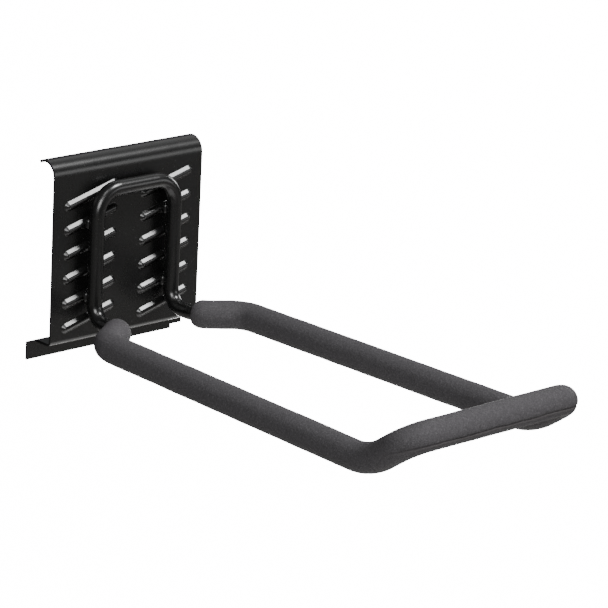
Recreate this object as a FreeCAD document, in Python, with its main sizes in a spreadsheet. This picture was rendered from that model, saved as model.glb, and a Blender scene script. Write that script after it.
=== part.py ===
import FreeCAD, Part
import math
import os
import Sketcher

from FreeCAD import Placement, Rotation, Vector

# Wall-panel bicycle hook. The origin is the middle of the flat back of the plate, where it meets the
# wall panel. +X is to the right of someone facing the panel, +Y goes into the panel and +Z is up.

doc = FreeCAD.newDocument("bicycle_wall_rack")

# Driving dimensions, in millimetres and degrees. Radii of bends in the sheet are those of the skin that
# faces the room, goes over the top of the hook and runs along the underside of the flange.
SIZES = [
    # Bent sheet-metal plate.
    ("half_width", 76.2),
    ("sheet", 2.0),
    ("plate_drop", 71.0),            # origin down to the underside of the flange
    ("hook_rise", 81.0),             # origin up to the crest of the hook
    ("hook_radius", 12.65),
    ("hook_reach", 18.4),            # origin back to the hook's free edge
    ("hook_corner", 1.0),
    ("foot_radius", 4.0),
    ("lip_radius", 1.5),
    ("lip_front", 16.6),             # origin back to the lip's front face
    ("lip_height", 10.3),            # flange's underside down to the lip's edge
    ("notch_length", 26.7),          # stretch at the left where the lip is cut away
    # Pressed ribs.
    ("rib_height", 3.0),
    ("crest_radius", 3.0),
    ("base_radius", 0.7),            # where its flanks curve onto the plate
    ("rib_half_width", 4.4),
    ("rib_half_length", 28.0),
    ("rib_slant", 15.0),
    ("rib_column", 38.8),            # centre plane out to the middle of a column
    ("rib_first", 19.6),             # flange's underside up to the middle of the lowest rib
    ("rib_pitch", 20.2),
    ("rib_rows", 6),
    # Bent rod. Heights and spreads are those of its axis.
    ("rod_radius", 6.35),
    ("leg_spread", 39.9),            # centre plane out to a leg
    ("top_bar_height", 54.8),
    ("top_radius", 20.5),
    ("arm_depth", 52.7),             # origin down to the arms
    ("heel_radius", 14.6),           # bend from the legs to the arms
    ("jog_reach", 43.5),             # origin out to the corner where the rod turns outward
    ("jog_radius", 23.1),
    ("arm_start", 66.4),             # origin out to the corner where an arm starts
    ("arm_spread", 72.5),            # centre plane out to that corner
    ("arm_radius", 24.3),
    ("front_spread", 82.5),          # centre plane out to the front end of an arm
    ("arm_reach", 378.1),            # origin out to the corner where an arm starts to rise
    ("rise_radius", 56.2),
    ("front_reach", 417.1),          # origin out to the front bar
    ("front_depth", 24.9),           # origin down to the front bar
    ("front_radius", 15.7),
    # Foam sleeve.
    ("foam_radius", 11.7),
    ("foam_setback", 8.5),           # length of bare rod in the outward bend
    # Lock strip and its studs, as they stand unlocked.
    ("strip_length", 149.6),
    ("strip_left", 86.8),            # centre plane out to its left end
    ("strip_shift", 12.0),           # how far right it slides to lock
    ("strip_fall", 2.4),             # how far it sinks on the way
    ("strip_below", 12.8),           # its lower edge under the flange's underside
    ("strip_clear", 1.4),            # its long part under the flange's underside
    ("strip_above", 2.0),            # its tall end over the flange's underside
    ("strip_tall", 24.8),            # length of that end
    ("gap", 0.2),                    # between the strip, the flange and the lip
    ("stud_radius", 1.8),
    ("stud_spread", 30.0),           # middle of the strip out to a stud
    ("stud_below", 4.6),             # its axis under the flange's underside
    ("stud_head_radius", 3.5),
    ("stud_head_length", 1.2),
    ("stud_crown_radius", 2.4),
    ("stud_crown_length", 0.6),
    ("slot_radius", 1.95),
    # Weld beads beside the crossings of the legs with two rows of ribs.
    ("bead_radius", 2.5),
    ("bead_run", 3.4),               # its straight middle, between its round ends
    ("bead_offset", 4.9),            # leg's axis out to a bead's middle
    ("bead_sink", 1.4),              # a bead's middle in front of the rib's crest
]
WELDED_ROWS = (1, 4)

dims = doc.addObject("Spreadsheet::Sheet", "dims")
for row, (alias, value) in enumerate(SIZES, start=1):
    dims.set("A%d" % row, alias)
    dims.set("B%d" % row, str(value))
    dims.setAlias("B%d" % row, alias)
doc.recompute()


def size(alias):
    """A driving dimension as a plain number. A whole number stands for itself."""
    return float(alias if alias.isdigit() else dims.get(alias))


def total(terms):
    """The sum of signed aliases, as in "half_width -sheet"."""
    return sum(-size(term[1:]) if term[0] == "-" else size(term) for term in terms.split())


def negative(terms):
    """The same terms with their signs turned."""
    return " ".join(term[1:] if term[0] == "-" else "-" + term for term in terms.split())


def formula(terms):
    """The same sum as an expression."""
    parts = ["0"]
    for term in terms.split():
        sign, alias = ("-", term[1:]) if term[0] == "-" else ("+", term)
        parts += [sign, alias if alias.isdigit() else "dims." + alias]
    return " ".join(parts)


def add(kind, name, bound=None, **properties):
    """An object of the document. Bound properties follow the sheet."""
    thing = doc.addObject(kind, name)
    for key, value in properties.items():
        setattr(thing, key, value)
    for key, terms in (bound or {}).items():
        thing.setExpression(key, formula(terms))
    return thing


def put(thing, x="", y="", z="", rotation=Rotation()):
    """Turn an object and bind its place to the sheet."""
    thing.Placement = Placement(Vector(), rotation)
    for axis, terms in zip("xyz", (x, y, z)):
        thing.setExpression("Placement.Base." + axis, formula(terms))
    return thing


# ---------------------------------------------------------------- sketches

def origin_item(body, role):
    return next(item for item in body.Origin.OriginFeatures if item.Role == role)


def new_sketch(body, name, role, level="", across="", up="", turn="", pivot=Vector(0, 0, 1)):
    """A sketch on one of its body's origin planes, moved and turned in that plane's own directions."""
    sketch = body.newObject("Sketcher::SketchObject", name)
    sketch.AttachmentSupport = [(origin_item(body, role), "")]
    sketch.MapMode = "FlatFace"
    sketch.AttachmentOffset = Placement(Vector(), Rotation(pivot, 0))
    for axis, terms in zip("xyz", (across, up, level)):
        sketch.setExpression("AttachmentOffset.Base." + axis, formula(terms))
    if turn:
        sketch.setExpression("AttachmentOffset.Rotation.Angle", "(%s) * 1 deg" % formula(turn))
    return sketch


def constrain(sketch, kind, *where, terms=None):
    """Add a constraint. With terms it is a dimension that follows the sheet."""
    if terms is None:
        sketch.addConstraint(Sketcher.Constraint(kind, *where))
        return
    index = sketch.addConstraint(Sketcher.Constraint(kind, *where, total(terms)))
    sketch.setExpression("Constraints[%d]" % index, formula(terms))


def pin(sketch, item, point, x=None, y=None):
    """Fix a point's distances from the sketch's axes."""
    if x is not None:
        constrain(sketch, "DistanceX", item, point, terms=x)
    if y is not None:
        constrain(sketch, "DistanceY", item, point, terms=y)


def polygon(sketch, corners):
    """A closed outline of straight lines, each corner pinned."""
    points = [Vector(total(x), total(y), 0) for x, y in corners]
    first = sketch.GeometryCount
    for start, end in zip(points, points[1:] + points[:1]):
        sketch.addGeometry(Part.LineSegment(start, end))
    for index, (x, y) in enumerate(corners):
        constrain(sketch, "Coincident", first + (index - 1) % len(corners), 2, first + index, 1)
        pin(sketch, first + index, 1, x, y)


def add_arc(sketch, x, y, radius, start, end):
    """An arc about (x, y), from start to end degrees anticlockwise."""
    circle = Part.Circle(Vector(total(x), total(y), 0), Vector(0, 0, 1), total(radius))
    arc = Part.ArcOfCircle(circle, math.radians(start), math.radians(end))
    index = sketch.addGeometry(arc)
    constrain(sketch, "Radius", index, terms=radius)
    return index


def stadium(sketch, left, right, radius):
    """A slot with round ends about two pinned centres."""
    (x0, y0), (x1, y1) = [(total(x), total(y)) for x, y in (left, right)]
    lean = math.degrees(math.atan2(y1 - y0, x1 - x0))
    ends = [add_arc(sketch, *left, radius, 90 + lean, 270 + lean),
            add_arc(sketch, *right, radius, lean - 90, 90 + lean)]
    normal = Vector(-math.sin(math.radians(lean)), math.cos(math.radians(lean)), 0) * total(radius)
    a, b = Vector(x0, y0, 0), Vector(x1, y1, 0)
    lower = sketch.addGeometry(Part.LineSegment(a - normal, b - normal))
    upper = sketch.addGeometry(Part.LineSegment(b + normal, a + normal))
    for index, (x, y) in zip(ends, (left, right)):
        pin(sketch, index, 3, x, y)
    constrain(sketch, "Tangent", ends[0], 2, lower, 1)
    constrain(sketch, "Tangent", lower, 2, ends[1], 1)
    constrain(sketch, "Tangent", ends[1], 2, upper, 1)
    constrain(sketch, "Tangent", upper, 2, ends[0], 1)


# ---------------------------------------------------------------- bent sheet-metal plate

def sheet_path(body):
    """The skin line of the bent sheet, from the lip's lower edge to the hook's free edge."""
    path = new_sketch(body, "sheet_path", "YZ_Plane")
    lip_centre = ("lip_front -lip_radius", "-plate_drop -lip_radius")
    foot_centre = ("foot_radius -sheet", "foot_radius -plate_drop")
    hook_centre = ("hook_radius -sheet", "hook_rise -hook_radius")
    lip_bend = add_arc(path, *lip_centre, "lip_radius", 0, 90)
    foot_bend = add_arc(path, *foot_centre, "foot_radius", 180, 270)
    reach = total("hook_reach") - total(hook_centre[0])
    edge_angle = math.degrees(math.acos(reach / size("hook_radius")))
    hook_bend = add_arc(path, *hook_centre, "hook_radius", edge_angle, 180)
    for index, centre in ((lip_bend, lip_centre), (foot_bend, foot_centre), (hook_bend, hook_centre)):
        pin(path, index, 3, *centre)

    def line(start, end):
        points = [Vector(total(x), total(y), 0) for x, y in (start, end)]
        return path.addGeometry(Part.LineSegment(*points))

    lip = line(("lip_front", "-plate_drop -lip_height"), ("lip_front", lip_centre[1]))
    flange = line((lip_centre[0], "-plate_drop"), (foot_centre[0], "-plate_drop"))
    plate = line(("-sheet", foot_centre[1]), ("-sheet", hook_centre[1]))
    constrain(path, "Vertical", lip)
    pin(path, lip, 1, y="-plate_drop -lip_height")
    constrain(path, "Tangent", lip, 2, lip_bend, 1)
    constrain(path, "Tangent", lip_bend, 2, flange, 1)
    constrain(path, "Tangent", flange, 2, foot_bend, 2)
    constrain(path, "Tangent", foot_bend, 1, plate, 1)
    constrain(path, "Tangent", plate, 2, hook_bend, 2)
    pin(path, hook_bend, 1, x="hook_reach")
    return path


def cut(body, name, sketch):
    """A pocket right through, away from the sketch's normal. It must remove metal."""
    before = body.Tip.Shape.Volume
    pocket = body.newObject("PartDesign::Pocket", name)
    pocket.Profile = sketch
    pocket.Type = "ThroughAll"
    doc.recompute()
    if pocket.Shape.Volume > before - 1.0:
        raise RuntimeError(name + " cuts nothing")
    return pocket


def rib_sketch(body, name, turn):
    """A sketch square to the plate, through the middle of the first rib, with y = 0 at the plate's back."""
    return new_sketch(body, name, "XY_Plane", level="rib_first -plate_drop", across="-rib_column",
                      turn=turn, pivot=Vector(0, 1, 0))


def rib_side(sketch, middle, hand, inset, floor):
    """One side of a rib's section: crest, flank, curve onto the plate and a wall down to the floor."""
    crest_radius, base_radius = "crest_radius " + negative(inset), "base_radius " + inset
    edge = middle + (" rib_half_width" if hand > 0 else " -rib_half_width")
    crest_level, base_level = "-sheet -rib_height crest_radius", "-sheet -base_radius"
    width, drop = size("rib_half_width"), total(base_level) - total(crest_level)
    lean = math.asin(total(crest_radius + " " + base_radius) / math.hypot(width, drop))
    lean += math.atan2(drop, width)
    turn = math.degrees(lean)
    spans = ((270, 270 + turn), (90, 90 + turn)) if hand > 0 else ((270 - turn, 270), (90 - turn, 90))
    crest = add_arc(sketch, middle, crest_level, crest_radius, *spans[0])
    base = add_arc(sketch, edge, base_level, base_radius, *spans[1])
    outward = Vector(hand * math.sin(lean), -math.cos(lean), 0)
    upper = Vector(total(middle), total(crest_level), 0) + outward * total(crest_radius)
    lower = Vector(total(edge), total(base_level), 0) - outward * total(base_radius)
    flank = sketch.addGeometry(Part.LineSegment(upper, lower))
    foot = Vector(total(edge), total(base_level) + total(base_radius), 0)
    wall = sketch.addGeometry(Part.LineSegment(foot, Vector(foot.x, total(floor), 0)))
    meets_axis, meets_flank = (1, 2) if hand > 0 else (2, 1)
    pin(sketch, crest, 3, middle, crest_level)
    pin(sketch, base, 3, edge, base_level)
    pin(sketch, crest, meets_axis, x=middle)
    pin(sketch, base, meets_axis, x=edge)
    constrain(sketch, "Tangent", crest, meets_flank, flank, 1)
    constrain(sketch, "Tangent", flank, 2, base, meets_flank)
    constrain(sketch, "Coincident", wall, 1, base, meets_axis)
    constrain(sketch, "Vertical", wall)
    pin(sketch, wall, 2, y=floor)
    return crest, wall


def rib_end(body, name, kind, hand, inset, floor):
    """The rounded end of a rib, or of its hollow: half the section turned about the end's centre."""
    sketch = rib_sketch(body, name + "_outline", "-rib_slant")
    centre = "rib_half_length -rib_half_width"
    middle = centre if hand > 0 else negative(centre)
    crest, wall = rib_side(sketch, middle, hand, inset, floor)
    x, bottom = total(middle), total(floor)
    top = total("-sheet -rib_height " + inset)
    across = sketch.addGeometry(Part.LineSegment(sketch.Geometry[wall].EndPoint, Vector(x, bottom, 0)))
    side = sketch.addGeometry(Part.LineSegment(Vector(x, bottom, 0), Vector(x, top, 0)))
    axis = sketch.addGeometry(Part.LineSegment(Vector(x, bottom, 0), Vector(x, top, 0)), True)
    constrain(sketch, "Coincident", across, 1, wall, 2)
    pin(sketch, across, 2, middle, floor)
    for line in (side, axis):
        constrain(sketch, "Coincident", line, 1, across, 2)
        constrain(sketch, "Coincident", line, 2, crest, 1 if hand > 0 else 2)
    end = body.newObject(kind, name)
    end.Profile = sketch
    end.ReferenceAxis = (sketch, ["Axis0"])
    end.Angle = 360
    doc.recompute()
    return end


def rib_run(body, name, kind, inset, floor):
    """The straight part of a rib, or of its hollow, between the centres of its ends."""
    sketch = rib_sketch(body, name + "_outline", "-rib_slant -90")
    walls = [rib_side(sketch, "", hand, inset, floor)[1] for hand in (1, -1)]
    ends = [sketch.Geometry[wall].EndPoint for wall in walls]
    across = sketch.addGeometry(Part.LineSegment(*ends))
    constrain(sketch, "Coincident", across, 1, walls[0], 2)
    constrain(sketch, "Coincident", across, 2, walls[1], 2)
    run = body.newObject(kind, name)
    run.Profile = sketch
    run.SideType = "Symmetric"
    centre = "rib_half_length -rib_half_width"
    run.setExpression("Length", formula(centre + " " + centre))
    doc.recompute()
    return run


def press_ribs(body):
    """Twelve slanted ribs: one raised rib and its hollow back, repeated in rows and columns."""
    within_sheet, behind_sheet = "-1", "1"
    rib = ("", within_sheet)
    hollow = ("sheet", behind_sheet)
    features = [
        rib_run(body, "rib_run", "PartDesign::Pad", *rib),
        rib_end(body, "rib_end_right", "PartDesign::Revolution", 1, *rib),
        rib_end(body, "rib_end_left", "PartDesign::Revolution", -1, *rib),
        rib_run(body, "hollow_run", "PartDesign::Pocket", *hollow),
        rib_end(body, "hollow_end_right", "PartDesign::Groove", 1, *hollow),
        rib_end(body, "hollow_end_left", "PartDesign::Groove", -1, *hollow),
    ]
    pattern = body.newObject("PartDesign::LinearPattern", "rib_rows_and_columns")
    pattern.Originals = features
    pattern.Direction = (origin_item(body, "Z_Axis"), [""])
    pattern.Direction2 = (origin_item(body, "X_Axis"), [""])
    pattern.Mode = pattern.Mode2 = "Spacing"
    pattern.setExpression("Offset", formula("rib_pitch"))
    pattern.setExpression("Offset2", formula("rib_column rib_column"))
    pattern.setExpression("Occurrences", formula("rib_rows"))
    pattern.Occurrences2 = 2
    pattern.Spacings2 = [-1.0]      # even spacing, by Offset2
    body.Tip = pattern
    doc.recompute()


def round_hook_corners(body):
    """Round the two corners of the hook's free edge."""
    base = body.Tip
    corners = []
    for number, edge in enumerate(base.Shape.Edges, start=1):
        middle = edge.BoundBox.Center
        short = edge.Length < 1.01 * size("sheet")
        if short and middle.z > size("hook_rise") - size("hook_radius") and middle.y > 0:
            corners.append("Edge%d" % number)
    fillet = body.newObject("PartDesign::Fillet", "hook_corners")
    fillet.Base = (base, corners)
    fillet.setExpression("Radius", formula("hook_corner"))
    doc.recompute()


def make_back_plate():
    body = doc.addObject("PartDesign::Body", "back_plate")
    section = new_sketch(body, "sheet_section", "XY_Plane", level="-plate_drop -lip_height")
    polygon(section, [("-half_width", "lip_front"), ("half_width", "lip_front"),
                      ("half_width", "lip_front sheet"), ("-half_width", "lip_front sheet")])
    bent = body.newObject("PartDesign::AdditivePipe", "bent_sheet")
    bent.Profile = section
    bent.Spine = sheet_path(body)
    doc.recompute()

    notch = new_sketch(body, "notch_outline", "XY_Plane")
    front, back = "lip_front -gap -sheet -gap", "lip_front sheet sheet"
    left, right = "-half_width -sheet", "notch_length -half_width"
    polygon(notch, [(left, front), (right, front), (right, back), (left, back)])
    cut(body, "notch", notch)

    slots = new_sketch(body, "slot_outlines", "XZ_Plane")
    for spread in ("stud_spread", "-stud_spread"):
        start = ("%s -strip_shift" % spread, "-plate_drop -stud_below")
        end = (spread, "-plate_drop -stud_below -strip_fall")
        stadium(slots, start, end, "slot_radius")
    cut(body, "lock_slots", slots)
    press_ribs(body)
    round_hook_corners(body)
    return body


# ---------------------------------------------------------------- bent rod and its foam

def bent_wire(corners):
    """Straight runs through (place, bend radius) corners, joined by arcs tangent to both runs."""
    edges = []
    places = [place for place, radius in corners]
    start = places[0]
    for before, (corner, radius), after in zip(places, corners[1:-1], places[2:]):
        arrive = (corner - before).normalize()
        leave = (after - corner).normalize()
        turn = arrive.getAngle(leave)
        setback = radius * math.tan(turn / 2)
        first = corner - arrive * setback
        last = corner + leave * setback
        inward = (leave - arrive).normalize()
        middle = corner + inward * (radius / math.cos(turn / 2) - radius)
        edges.append(Part.LineSegment(start, first).toShape())
        edges.append(Part.Arc(first, middle, last).toShape())
        start = last
    edges.append(Part.LineSegment(start, places[-1]).toShape())
    return edges


def half_rod_edges():
    """The rod's axis on the right-hand side, from the middle of the top bar to that of the front bar."""
    wall_gap = -total("sheet rib_height rod_radius")
    leg, arm, front = size("leg_spread"), size("arm_spread"), size("front_spread")
    low, high, lift = -size("arm_depth"), size("top_bar_height"), -size("front_depth")
    return bent_wire([
        (Vector(0, wall_gap, high), 0),
        (Vector(leg, wall_gap, high), size("top_radius")),
        (Vector(leg, wall_gap, low), size("heel_radius")),
        (Vector(leg, -size("jog_reach"), low), size("jog_radius")),
        (Vector(arm, -size("arm_start"), low), size("arm_radius")),
        (Vector(front, -size("arm_reach"), low), size("rise_radius")),
        (Vector(front, -size("front_reach"), lift), size("front_radius")),
        (Vector(0, -size("front_reach"), lift), 0),
    ])


def mirrored_sweep(name, edges, radius):
    """A round bar along a half path and its mirror image, joined."""
    start, heading = edges[0].Vertexes[0].Point, edges[0].tangentAt(edges[0].FirstParameter)
    spine = add("Part::Feature", name + "_axis", Shape=Part.Wire(edges))
    section = add("Part::Circle", name + "_section", {"Radius": radius})
    section.Placement = Placement(start, Rotation(Vector(0, 0, 1), heading))
    half = add("Part::Sweep", name + "_half", Sections=[section], Spine=(spine, []), Solid=True)
    twin = add("Part::Mirroring", name + "_twin", Source=half, Normal=Vector(1, 0, 0))
    whole = add("Part::Fuse", name, Base=half, Tool=twin)
    doc.recompute()
    expected = 2 * spine.Shape.Length * math.pi * total(radius) ** 2
    if abs(whole.Shape.Volume / expected - 1) > 0.002:
        raise RuntimeError("%s: %.0f mm3, not %.0f" % (name, whole.Shape.Volume, expected))
    return whole


def make_rod_frame():
    return mirrored_sweep("rod_frame", half_rod_edges(), "rod_radius")


def make_foam_sleeve(rod):
    """Foam over the rod from part-way round its outward bend to the front, bored to the rod's size."""
    edges = half_rod_edges()
    jog = edges[5]
    start = jog.getParameterByLength(size("foam_setback"))
    covered = jog.Curve.toShape(start, jog.LastParameter)
    outside = mirrored_sweep("foam_outside", [covered] + edges[6:], "foam_radius")
    return add("Part::Cut", "foam_sleeve", Base=outside, Tool=rod)


# ---------------------------------------------------------------- weld beads

def make_bead(name, x, y, z):
    """A short upright bar with round ends, starting at the given place."""
    run = add("Part::Cylinder", name + "_run", {"Radius": "bead_radius", "Height": "bead_run"})
    ends = [add("Part::Sphere", name + "_" + end, {"Radius": "bead_radius"}) for end in ("foot", "head")]
    for piece, lift in ((run, 0), (ends[0], 0), (ends[1], size("bead_run"))):
        piece.Placement.Base = Vector(x, y, z + lift)
    return add("Part::MultiFuse", name, Shapes=[run] + ends, Refine=True)


def make_weld_beads(plate, rod):
    """Beads in the corners between each leg and two of the ribs under it."""
    beads = []
    y = -total("sheet rib_height bead_sink")
    slope = math.tan(math.radians(size("rib_slant")))
    for row in WELDED_ROWS:
        for leg in (-1, 1):
            for hand in (-1, 1):
                x = leg * size("leg_spread") + hand * size("bead_offset")
                rise = slope * (x - leg * size("rib_column")) - size("bead_run") / 2
                z = total("rib_first -plate_drop") + row * size("rib_pitch") + rise
                beads.append(make_bead("bead_%d" % (len(beads) + 1), x, y, z))
    lumps = add("Part::Compound", "bead_lumps", Links=beads)
    metal = add("Part::Compound", "bead_neighbours", Links=[plate, rod])
    return add("Part::Cut", "weld_beads", Base=lumps, Tool=metal)


# ---------------------------------------------------------------- lock

def make_lock_strip():
    body = doc.addObject("PartDesign::Body", "lock_strip")
    outline = new_sketch(body, "strip_outline", "XZ_Plane", level="gap -lip_front")
    left, right = "-strip_left", "strip_length -strip_left"
    step = "strip_tall -strip_left"
    low, high, top = "-plate_drop -strip_below", "-plate_drop -strip_clear", "strip_above -plate_drop"
    polygon(outline, [(left, low), (right, low), (right, high), (step, high), (step, top), (left, top)])
    for spread in ("stud_spread", "-stud_spread"):
        circle = Part.Circle(Vector(), Vector(0, 0, 1), size("stud_radius"))
        hole = outline.addGeometry(circle)
        constrain(outline, "Radius", hole, terms="stud_radius")
        pin(outline, hole, 3, spread + " -strip_shift", "-plate_drop -stud_below")
    pad = body.newObject("PartDesign::Pad", "strip")
    pad.Profile = outline
    pad.setExpression("Length", formula("sheet"))
    doc.recompute()
    return body


def make_lock_studs():
    """Two headed studs, flush with the strip's front, with their heads behind the lip."""
    along_y = Rotation(Vector(1, 0, 0), -90)
    pieces = []
    for side, spread in (("right", "stud_spread"), ("left", "-stud_spread")):
        x, z = spread + " -strip_shift", "-plate_drop -stud_below"
        under_head = "lip_front sheet gap"
        shank = add("Part::Cylinder", "shank_" + side,
                    {"Radius": "stud_radius", "Height": "sheet gap sheet gap"})
        put(shank, x, "lip_front -gap -sheet", z, along_y)
        head = add("Part::Cylinder", "head_" + side,
                   {"Radius": "stud_head_radius", "Height": "stud_head_length"})
        put(head, x, under_head, z, along_y)
        crown = add("Part::Cone", "crown_" + side, {"Radius1": "stud_head_radius",
                                                    "Radius2": "stud_crown_radius",
                                                    "Height": "stud_crown_length"})
        put(crown, x, under_head + " stud_head_length", z, along_y)
        pieces += [shank, head, crown]
    return add("Part::MultiFuse", "lock_studs", Shapes=pieces)


# ---------------------------------------------------------------- build, check and write

def write(parts):
    """Stop on any failed object or bad solid, then write one file for each sub-part."""
    doc.recompute()
    for thing in doc.Objects:
        if "Invalid" in thing.State or "Error" in thing.State:
            raise RuntimeError("%s failed: %s" % (thing.Name, thing.getStatusString()))
    os.makedirs("parts", exist_ok=True)
    for name, solids in parts.items():
        part = doc.getObject(name)
        shape = part.Shape
        if shape.isNull() or not shape.isValid() or len(shape.Solids) != solids:
            raise RuntimeError("%s has a bad shape" % name)
        part.Label = name
        shape.exportStep("parts/%s.step" % name)
        print("%-12s %2d solids %10.0f mm3" % (name, solids, shape.Volume))


back_plate = make_back_plate()
rod_frame = make_rod_frame()
make_foam_sleeve(rod_frame)
make_weld_beads(back_plate, rod_frame)
make_lock_strip()
make_lock_studs()
write({"back_plate": 1, "rod_frame": 1, "foam_sleeve": 1, "weld_beads": 8, "lock_strip": 1, "lock_studs": 2})
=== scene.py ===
import math

import bpy
from mathutils import Matrix, Vector, noise


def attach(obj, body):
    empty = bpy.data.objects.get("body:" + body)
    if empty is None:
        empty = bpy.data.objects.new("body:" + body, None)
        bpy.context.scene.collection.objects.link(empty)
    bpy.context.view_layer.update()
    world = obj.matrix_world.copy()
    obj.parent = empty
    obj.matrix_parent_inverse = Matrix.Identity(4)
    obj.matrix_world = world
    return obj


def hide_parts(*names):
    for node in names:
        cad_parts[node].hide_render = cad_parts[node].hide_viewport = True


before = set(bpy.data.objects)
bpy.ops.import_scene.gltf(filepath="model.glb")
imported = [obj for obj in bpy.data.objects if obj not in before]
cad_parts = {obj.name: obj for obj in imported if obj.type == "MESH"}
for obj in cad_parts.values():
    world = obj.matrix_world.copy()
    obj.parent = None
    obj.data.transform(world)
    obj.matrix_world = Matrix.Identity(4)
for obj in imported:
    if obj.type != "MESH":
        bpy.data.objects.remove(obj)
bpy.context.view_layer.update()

# Looks for the bicycle wall rack: foam sleeve, weld beads, powder-coated steel, floor, lights, camera.
# Metres throughout. +X is to the right of someone facing the wall panel, +Y goes into it, +Z is up.

MM = 0.001

# Rod and foam, as the frame has them.
ROD_RADIUS = 6.35 * MM
FOAM_RADIUS = 11.7 * MM
LEG_SPREAD = 39.9 * MM
ARM_SPREAD = 72.5 * MM
FRONT_SPREAD = 82.5 * MM
HEEL_END = 25.95 * MM               # how far out the bend under a leg ends
JOG_REACH = 43.5 * MM               # corner where the rod turns outward
ARM_START = 66.4 * MM
ARM_REACH = 378.1 * MM              # corner where an arm starts to rise
FRONT_REACH = 417.1 * MM
ARM_LEVEL = -52.7 * MM
FRONT_LEVEL = -24.9 * MM
JOG_RADIUS = 23.1 * MM
ARM_RADIUS = 24.3 * MM
RISE_RADIUS = 56.2 * MM
FRONT_RADIUS = 15.7 * MM
BARE_JOG = 8.5 * MM                 # length of bare rod in the outward bend

# Foam surface.
RING_STEP = 1.5 * MM
END_ROUND = 5.0 * MM
END_LENGTH = 7.5 * MM               # along the sleeve
END_RINGS = 7
SWELL = 0.22 * MM                   # uneven thickness of the foam
SEAM_DROP = math.radians(14)        # the slit's place on the front bar, below its outermost line
SEAM_UNDER = math.radians(92)       # and under the arms
SEAM_WANDER = 0.55 * MM
SEAM_RISE = 12 * MM                 # the slit starts to climb this far before an arm starts to rise
SLIT_START = 14 * MM                # it starts to open this far behind the front bar
SLIT_OPENING = 12 * MM              # and is fully open this much further out
SLIT_CLOSED = 0.25                  # share of its depth and of its painted shade and highlight along the arms
SLIT_FADE = 6 * MM                  # length over which it fades at the sleeve's ends
LUMPS = 21 * MM                     # size of the uneven places
PITS = 3.5 * MM                     # size of the small pits
PIT_DEPTH = 0.05 * MM
PLAIN_STATIONS = 52                 # sections of a ring away from the slit

# Stage and camera. Angles are azimuth, elevation and roll, in degrees.
FLOOR_LEVEL = -1.1
TABLE_CENTRE = (0.2, -0.3, -0.66)
TABLE_HALF = 0.55
BACKDROP_BEHIND = 1.6
BACKDROP_HALF = 0.42
CAMERA_TARGET = (0.0789, -0.1289, -0.0281)
CAMERA_DISTANCE = 2.7
CAMERA_ANGLES = (-43.196, 17.305, -2.948)
CAMERA_LENS = 200.8
LIGHTS_TARGET = (0, -0.1, 0)


# ---------------------------------------------------------------- materials

def new_material(name):
    material = bpy.data.materials.new(name)
    material.use_nodes = True
    tree = material.node_tree
    return material, tree, tree.nodes["Principled BSDF"]


def node(tree, kind, inputs=None, **settings):
    """A shader node with its settings and its unlinked or linked inputs."""
    made = tree.nodes.new(kind)
    for key, value in settings.items():
        setattr(made, key, value)
    for key, value in (inputs or {}).items():
        if isinstance(value, bpy.types.NodeSocket):
            tree.links.new(value, made.inputs[key])
        else:
            made.inputs[key].default_value = value
    return made


def ramp(tree, factor, stops):
    """A colour ramp through (position, colour) stops."""
    made = node(tree, "ShaderNodeValToRGB", {"Fac": factor})
    elements = made.color_ramp.elements
    while len(elements) < len(stops):
        elements.new(0.5)
    for element, (position, colour) in zip(elements, stops):
        element.position = position
        element.color = (*colour, 1)
    return made.outputs["Color"]


def grey(value):
    return (value, value, value)


def place_of(tree):
    return node(tree, "ShaderNodeTexCoord").outputs["Object"]


def bump(tree, height, strength, distance, under=None):
    inputs = {"Height": height, "Strength": strength, "Distance": distance}
    if under is not None:
        inputs["Normal"] = under
    return node(tree, "ShaderNodeBump", inputs).outputs["Normal"]


def powder_coat():
    """Black powder coat: soft gloss over fine orange peel, with faint dust specks."""
    material, tree, shader = new_material("black_powder_coat")
    place = place_of(tree)
    peel = node(tree, "ShaderNodeTexNoise", {"Vector": place, "Scale": 420.0, "Detail": 2.0})
    grain = node(tree, "ShaderNodeTexNoise", {"Vector": place, "Scale": 2600.0, "Detail": 2.0})
    cloud = node(tree, "ShaderNodeTexNoise", {"Vector": place, "Scale": 38.0, "Detail": 4.0})
    specks = node(tree, "ShaderNodeTexVoronoi", {"Vector": place, "Scale": 230.0, "Randomness": 1.0})
    dust = ramp(tree, specks.outputs["Distance"], [(0.0, grey(0.22)), (0.05, grey(0.004)), (1.0, grey(0.003))])
    tree.links.new(dust, shader.inputs["Base Color"])
    gloss = ramp(tree, cloud.outputs["Fac"], [(0.3, grey(0.25)), (0.7, grey(0.29))])
    tree.links.new(gloss, shader.inputs["Roughness"])
    rough = bump(tree, grain.outputs["Fac"], 0.10, 0.015 * MM)
    tree.links.new(bump(tree, peel.outputs["Fac"], 0.10, 0.05 * MM, rough), shader.inputs["Normal"])
    shader.inputs["Specular IOR Level"].default_value = 0.5
    return material


def stud_steel():
    """Black-oxide steel with fine scuffs."""
    material, tree, shader = new_material("stud_steel")
    place = place_of(tree)
    scuffs = node(tree, "ShaderNodeTexNoise", {"Vector": place, "Scale": 900.0, "Detail": 5.0})
    tone = ramp(tree, scuffs.outputs["Fac"], [(0.35, grey(0.035)), (0.7, grey(0.09))])
    tree.links.new(tone, shader.inputs["Base Color"])
    tree.links.new(bump(tree, scuffs.outputs["Fac"], 0.2, 0.05 * MM), shader.inputs["Normal"])
    shader.inputs["Metallic"].default_value = 1.0
    shader.inputs["Roughness"].default_value = 0.38
    return material


def mixed(tree, factor, first, second, blend="MIX"):
    """Two colours, mixed or multiplied."""
    made = tree.nodes.new("ShaderNodeMix")
    made.data_type = "RGBA"
    made.blend_type = blend
    for socket, value in zip((made.inputs[0], made.inputs[6], made.inputs[7]), (factor, first, second)):
        if isinstance(value, bpy.types.NodeSocket):
            tree.links.new(value, socket)
        elif socket.type == "RGBA":
            socket.default_value = (*value, 1)
        else:
            socket.default_value = value
    return made.outputs[2]


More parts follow.
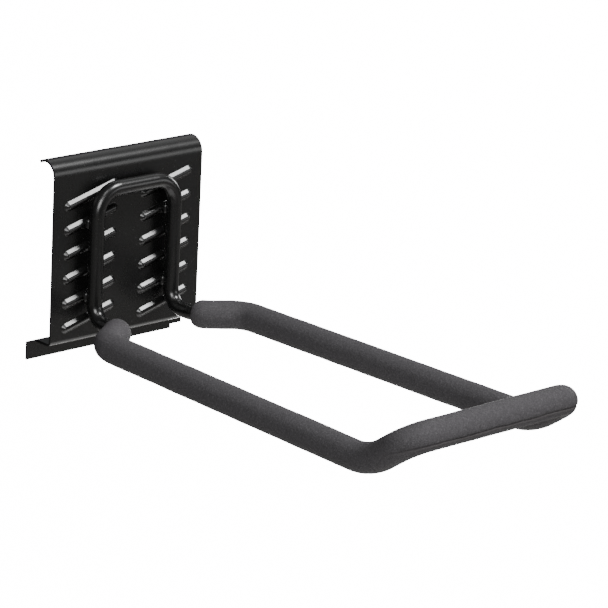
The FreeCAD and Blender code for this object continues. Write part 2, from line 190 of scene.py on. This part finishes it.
def foam_material():
    """Closed-cell foam: a mottled charcoal skin of fine cells, with painted shade in the slit and a painted
    highlight along its lip.
    """
    material, tree, shader = new_material("foam")
    place = place_of(tree)
    cells = node(tree, "ShaderNodeTexVoronoi", {"Vector": place, "Scale": 900.0, "Randomness": 1.0})
    grains = node(tree, "ShaderNodeTexNoise", {"Vector": place, "Scale": 1000.0, "Detail": 3.0})
    blotches = node(tree, "ShaderNodeTexNoise",
                    {"Vector": place, "Scale": 480.0, "Detail": 5.0, "Roughness": 0.7})
    skin = ramp(tree, blotches.outputs["Fac"], [(0.3, (0.042, 0.040, 0.043)), (0.7, (0.060, 0.057, 0.061))])
    flecks = ramp(tree, grains.outputs["Fac"], [(0.35, grey(0.7)), (0.6, grey(1.0)), (0.78, grey(1.7))])
    mottled = mixed(tree, 1.0, skin, flecks, "MULTIPLY")
    # Painted shade: this mask darkens the skin in the slit, where shade falls.
    slit_shade = node(tree, "ShaderNodeAttribute", attribute_name="slit_shade").outputs["Fac"]
    # Painted highlight: this mask lightens the skin along the slit's lower lip, where light catches it.
    lip_highlight = node(tree, "ShaderNodeAttribute", attribute_name="lip_highlight").outputs["Fac"]
    lip_highlighted = mixed(tree, lip_highlight, mottled, (0.075, 0.070, 0.070))
    tree.links.new(mixed(tree, slit_shade, lip_highlighted, (0.022, 0.020, 0.021)), shader.inputs["Base Color"])
    fine = bump(tree, cells.outputs["Distance"], 0.55, 0.30 * MM)
    pores = bump(tree, grains.outputs["Fac"], 0.50, 0.30 * MM, fine)
    tree.links.new(bump(tree, blotches.outputs["Fac"], 0.35, 0.3 * MM, pores), shader.inputs["Normal"])
    shader.inputs["Roughness"].default_value = 0.82
    shader.inputs["Specular IOR Level"].default_value = 0.22
    return material


# ---------------------------------------------------------------- foam sleeve

def rounded(corners, step):
    """Points every step along straight runs through (place, radius) corners, joined by tangent arcs."""
    stretches = []
    start = corners[0][0]
    for (before, _), (corner, radius), (after, _) in zip(corners, corners[1:], corners[2:]):
        arrive = (corner - before).normalized()
        leave = (after - corner).normalized()
        turn = arrive.angle(leave)
        setback = radius * math.tan(turn / 2)
        first = corner - arrive * setback
        inward = (leave - arrive).normalized()
        centre = corner + inward * (radius / math.cos(turn / 2))
        axis = arrive.cross(leave)
        stretches.append(straight(start, first, step))
        count = max(6, round(radius * turn / step))
        arm = first - centre
        stretches.append([centre + Matrix.Rotation(turn * i / count, 3, axis) @ arm for i in range(count)])
        start = corner + leave * setback
    stretches.append(straight(start, corners[-1][0], step) + [corners[-1][0].copy()])
    return [point for stretch in stretches for point in stretch]


def straight(start, end, step):
    """Points every step from start up to, but without, end."""
    count = max(1, round((end - start).length / step))
    return [start.lerp(end, i / count) for i in range(count)]


def foam_centreline():
    """The sleeve's axis: from the left bend, round the front and back to the right bend."""
    half = [
        (Vector((LEG_SPREAD, -HEEL_END, ARM_LEVEL)), 0),
        (Vector((LEG_SPREAD, -JOG_REACH, ARM_LEVEL)), JOG_RADIUS),
        (Vector((ARM_SPREAD, -ARM_START, ARM_LEVEL)), ARM_RADIUS),
        (Vector((FRONT_SPREAD, -ARM_REACH, ARM_LEVEL)), RISE_RADIUS),
        (Vector((FRONT_SPREAD, -FRONT_REACH, FRONT_LEVEL)), FRONT_RADIUS),
    ]
    flip = Matrix.Diagonal((-1, 1, 1))
    left = [(flip @ place, radius) for place, radius in half]
    points = rounded(left + half[::-1], RING_STEP)
    turn = (half[2][0] - half[1][0]).angle(half[1][0] - half[0][0])
    bare = (JOG_REACH - HEEL_END) - JOG_RADIUS * math.tan(turn / 2) + BARE_JOG
    return trimmed(trimmed(points, bare)[::-1], bare)[::-1]


def trimmed(points, length):
    """The polyline without its first stretch."""
    for index in range(len(points) - 1):
        run = (points[index + 1] - points[index]).length
        if run > length:
            return [points[index].lerp(points[index + 1], length / run)] + points[index + 1:]
        length -= run
    raise ValueError("the path is shorter than the length to trim")


def wander(distance, pitch, seed):
    """A smooth value from about -1 to 1 that changes over each pitch of length."""
    return noise.noise(Vector((distance / pitch, seed, 0.5)))


def slit_profile():
    """Across the slit, from above it to below it: (millimetres down, sink in millimetres, painted shade in the
    slit, painted highlight along its lip).
    """
    return [
        (-3.0, 0.0, 0.0, 0.0), (-1.6, 0.05, 0.0, 0.0), (-1.0, 0.18, 0.15, 0.0), (-0.5, 0.45, 0.45, 0.0),
        (-0.1, 0.75, 0.7, 0.0), (0.3, 0.75, 0.6, 0.0), (0.7, 0.35, 0.25, 0.3), (1.1, 0.18, 0.0, 0.6),
        (1.6, 0.18, 0.0, 0.4), (2.2, 0.25, 0.0, 0.1), (3.2, 0.12, 0.0, 0.0), (4.6, 0.0, 0.0, 0.0),
    ]


def ring_stations():
    """Positions round a section: (angle from the slit, sink, painted shade in the slit, painted highlight along
    its lip). The rest of it is evenly spaced.
    """
    stations = [(-down * MM / FOAM_RADIUS, sink * MM, slit_shade, lip_highlight) for down, sink, slit_shade, lip_highlight in slit_profile()]
    high, low = stations[0][0], stations[-1][0]
    gap = 2 * math.pi - (high - low)
    rest = [(low - gap * i / PLAIN_STATIONS, 0.0, 0.0, 0.0) for i in range(1, PLAIN_STATIONS)]
    return stations + rest


def slit_angle(point, distance):
    """Where the slit is on a section: low on the outside at the front, underneath along the arms."""
    front = min(1.0, max(0.0, (-point.y - (ARM_REACH - SEAM_RISE)) / (FRONT_REACH - ARM_REACH)))
    front = front * front * (3 - 2 * front)
    drift = SEAM_WANDER * wander(distance, 16 * MM, 3.1) + 0.5 * SEAM_WANDER * wander(distance, 5 * MM, 8.7)
    return -(SEAM_DROP * front + SEAM_UNDER * (1 - front)) + drift / FOAM_RADIUS


def slit_strength(point):
    """How open the slit is, and how strong its painted shade and highlight are: fully on the front bar, nearly
    closed along the arms.
    """
    front = min(1.0, max(0.0, (-point.y - (FRONT_REACH - SLIT_START)) / SLIT_OPENING))
    return SLIT_CLOSED + (1 - SLIT_CLOSED) * front


def end_shrink(rest):
    """How much an end's rounding takes off the radius at a distance from the end."""
    if rest >= END_LENGTH:
        return 0.0
    return END_ROUND * (1 - math.sqrt(1 - (1 - rest / END_LENGTH) ** 2))


def make_foam_sleeve(material):
    """One closed tube: outer skin with a slit, round ends, and a bore on the rod."""
    points = foam_centreline()
    lead = [END_LENGTH * (1 - math.cos(math.pi / 2 * i / END_RINGS)) for i in range(END_RINGS)]
    start = [trimmed(points, reach)[0] for reach in lead]
    end = [trimmed(points[::-1], reach)[0] for reach in lead]
    body = trimmed(trimmed(points, END_LENGTH)[::-1], END_LENGTH)[::-1]
    points = start + body + end[::-1]
    stations = ring_stations()
    vertices, slit_shades, lip_highlights = [], [], []
    along = [0.0]
    for before, after in zip(points, points[1:]):
        along.append(along[-1] + (after - before).length)
    for skin in ("outside", "bore"):
        for index, point in enumerate(points):
            tangent = (points[min(index + 1, len(points) - 1)] - points[max(index - 1, 0)]).normalized()
            out = tangent.cross(Vector((0, 0, 1))).normalized()
            up = out.cross(tangent)
            distance = along[index]
            rest = min(distance, along[-1] - distance)
            fade = min(1.0, rest / SLIT_FADE) * slit_strength(point)
            base = slit_angle(point, distance)
            for angle, sink, slit_shade, lip_highlight in stations:
                turn = base + angle
                direction = out * math.cos(turn) + up * math.sin(turn)
                radius = ROD_RADIUS
                if skin == "outside":
                    lump = noise.noise((point + direction * FOAM_RADIUS) / LUMPS)
                    pits = noise.noise((point + direction * FOAM_RADIUS) / PITS)
                    radius = FOAM_RADIUS + SWELL * lump + PIT_DEPTH * pits
                    radius -= sink * fade * (1 + 0.5 * wander(distance, 7 * MM, 5.5)) + end_shrink(rest)
                vertices.append(point + direction * radius)
                # The outer skin carries the slit's painted shade and the painted highlight along its lip.
                slit_shades.append(slit_shade * fade if skin == "outside" else 0.0)
                lip_highlights.append(lip_highlight * fade if skin == "outside" else 0.0)
    return sleeve_object(vertices, slit_shades, lip_highlights, len(points), len(stations), material)


def sleeve_object(vertices, slit_shades, lip_highlights, rings, width, material):
    """The mesh through two nests of rings, closed between them at both ends."""
    faces = []
    for skin in (0, 1):
        for ring in range(rings - 1):
            for i in range(width):
                a = (skin * rings + ring) * width + i
                b = (skin * rings + ring) * width + (i + 1) % width
                quad = (a, b, b + width, a + width)
                faces.append(quad if skin == 0 else quad[::-1])
    for ring in (0, rings - 1):
        for i in range(width):
            a, b = ring * width + i, ring * width + (i + 1) % width
            quad = (a, a + rings * width, b + rings * width, b)
            faces.append(quad if ring == 0 else quad[::-1])
    mesh = bpy.data.meshes.new("foam_sleeve_skin")
    mesh.from_pydata(vertices, [], faces)
    mesh.update()
    mesh.polygons.foreach_set("use_smooth", [True] * len(mesh.polygons))
    # These masks hold the painted shade in the slit and the painted highlight along its lip.
    for name, values in (("slit_shade", slit_shades), ("lip_highlight", lip_highlights)):
        mesh.attributes.new(name, "FLOAT", "POINT").data.foreach_set("value", values)
    mesh.materials.append(material)
    sleeve = bpy.data.objects.new("foam_sleeve_skin", mesh)
    bpy.context.scene.collection.objects.link(sleeve)
    return sleeve


# ---------------------------------------------------------------- stage, lights and camera

def paper(name, colour):
    """Matt paper."""
    material, tree, shader = new_material(name)
    tone = node(tree, "ShaderNodeTexNoise", {"Vector": place_of(tree), "Scale": 0.8, "Detail": 3.0})
    darker = [0.97 * channel for channel in colour]
    tree.links.new(ramp(tree, tone.outputs["Fac"], [(0.3, darker), (0.7, colour)]), shader.inputs["Base Color"])
    shader.inputs["Roughness"].default_value = 0.9
    shader.inputs["Specular IOR Level"].default_value = 0.0
    return material


def glowing_paper():
    """White paper lit evenly from behind."""
    material, tree, shader = new_material("glowing_paper")
    shader.inputs["Base Color"].default_value = (0.8, 0.8, 0.8, 1)
    shader.inputs["Emission Color"].default_value = (1, 1, 1, 1)
    shader.inputs["Emission Strength"].default_value = 15.0
    return material


def make_card(name, centre, half_width, half_height, material, axes=None):
    """A flat card of the stage: level, or across the given right and up directions."""
    right, up = axes or (Vector((1, 0, 0)), Vector((0, 1, 0)))
    corners = [centre + right * half_width * i + up * half_height * j
               for i, j in ((-1, -1), (1, -1), (1, 1), (-1, 1))]
    mesh = bpy.data.meshes.new(name)
    mesh.from_pydata(corners, [], [(0, 1, 2, 3)])
    mesh.materials.append(material)
    card = bpy.data.objects.new(name, mesh)
    bpy.context.scene.collection.objects.link(card)


def make_stage():
    """A grey floor, a white table under the rack, and a backdrop that fills the camera's view."""
    make_card("studio_floor", Vector((0, 0, FLOOR_LEVEL)), 40.0, 40.0, paper("floor_paper", (0.30, 0.29, 0.28)))
    make_card("table", Vector(TABLE_CENTRE), TABLE_HALF, TABLE_HALF, paper("table_paper", (0.87, 0.86, 0.85)))
    right, up, forward = camera_axes()
    centre = Vector(CAMERA_TARGET) + forward * BACKDROP_BEHIND
    make_card("backdrop", centre, BACKDROP_HALF, BACKDROP_HALF, glowing_paper(), (right, up))


def make_softbox(name, place, energy, width, height):
    """A rectangular light aimed at the rack and left out of the camera's sight."""
    light = bpy.data.lights.new(name, "AREA")
    light.energy = energy
    light.shape = "RECTANGLE"
    light.size = width
    light.size_y = height
    lamp = bpy.data.objects.new(name, light)
    bpy.context.scene.collection.objects.link(lamp)
    lamp.location = place
    lamp.rotation_euler = (Vector(LIGHTS_TARGET) - Vector(place)).to_track_quat("-Z", "Y").to_euler()
    lamp.visible_camera = False


def make_lights():
    """A high softbox, softboxes at the left and behind the camera, a low one at the right and two panels."""
    make_softbox("high_softbox", (1.70, -2.10, 4.10), 320, 1.3, 1.3)
    make_softbox("left_softbox", (-1.3, -2.1, 3.9), 36, 1.3, 1.3)
    make_softbox("fill_softbox", (-2.3, -2.6, 1.5), 120, 1.8, 1.8)
    make_softbox("low_softbox", (1.85, -2.15, 0.40), 12, 1.6, 0.9)
    make_softbox("rear_panel", (1.9, 1.0, 2.0), 5, 1.6, 1.2)
    make_softbox("side_panel", (2.0, 0.5, 0.42), 14, 0.7, 0.7)


def make_world():
    world = bpy.data.worlds.new("studio")
    bpy.context.scene.world = world
    world.use_nodes = True
    background = world.node_tree.nodes["Background"]
    background.inputs["Color"].default_value = (0.95, 0.97, 1.0, 1)
    background.inputs["Strength"].default_value = 0.15


def camera_axes():
    """The camera's right, up and forward directions."""
    azimuth, elevation, roll = (math.radians(angle) for angle in CAMERA_ANGLES)
    forward = Vector((-math.sin(azimuth) * math.cos(elevation),
                      math.cos(azimuth) * math.cos(elevation),
                      -math.sin(elevation)))
    level = Vector((math.cos(azimuth), math.sin(azimuth), 0))
    right = level * math.cos(roll) - level.cross(forward) * math.sin(roll)
    return right, right.cross(forward), forward


def make_camera():
    """A long lens from the left of the panel, a little above, rolled slightly."""
    right, up, forward = camera_axes()
    data = bpy.data.cameras.new("camera")
    data.lens = CAMERA_LENS
    data.sensor_width = 36
    data.clip_end = 100
    camera = bpy.data.objects.new("camera", data)
    bpy.context.scene.collection.objects.link(camera)
    turn = Matrix((right, up, -forward)).transposed()
    camera.matrix_world = Matrix.Translation(Vector(CAMERA_TARGET) - forward * CAMERA_DISTANCE) @ turn.to_4x4()
    bpy.context.scene.camera = camera


# ---------------------------------------------------------------- build

def dress(names, material):
    for name in names:
        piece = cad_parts[name]
        piece.data.materials.clear()
        piece.data.materials.append(material)


dress(("back_plate", "rod_frame", "weld_beads", "lock_strip"), powder_coat())
dress(("lock_studs",), stud_steel())
sleeve = make_foam_sleeve(foam_material())
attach(sleeve, "rack")
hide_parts("foam_sleeve")

make_stage()
make_lights()
make_world()
make_camera()
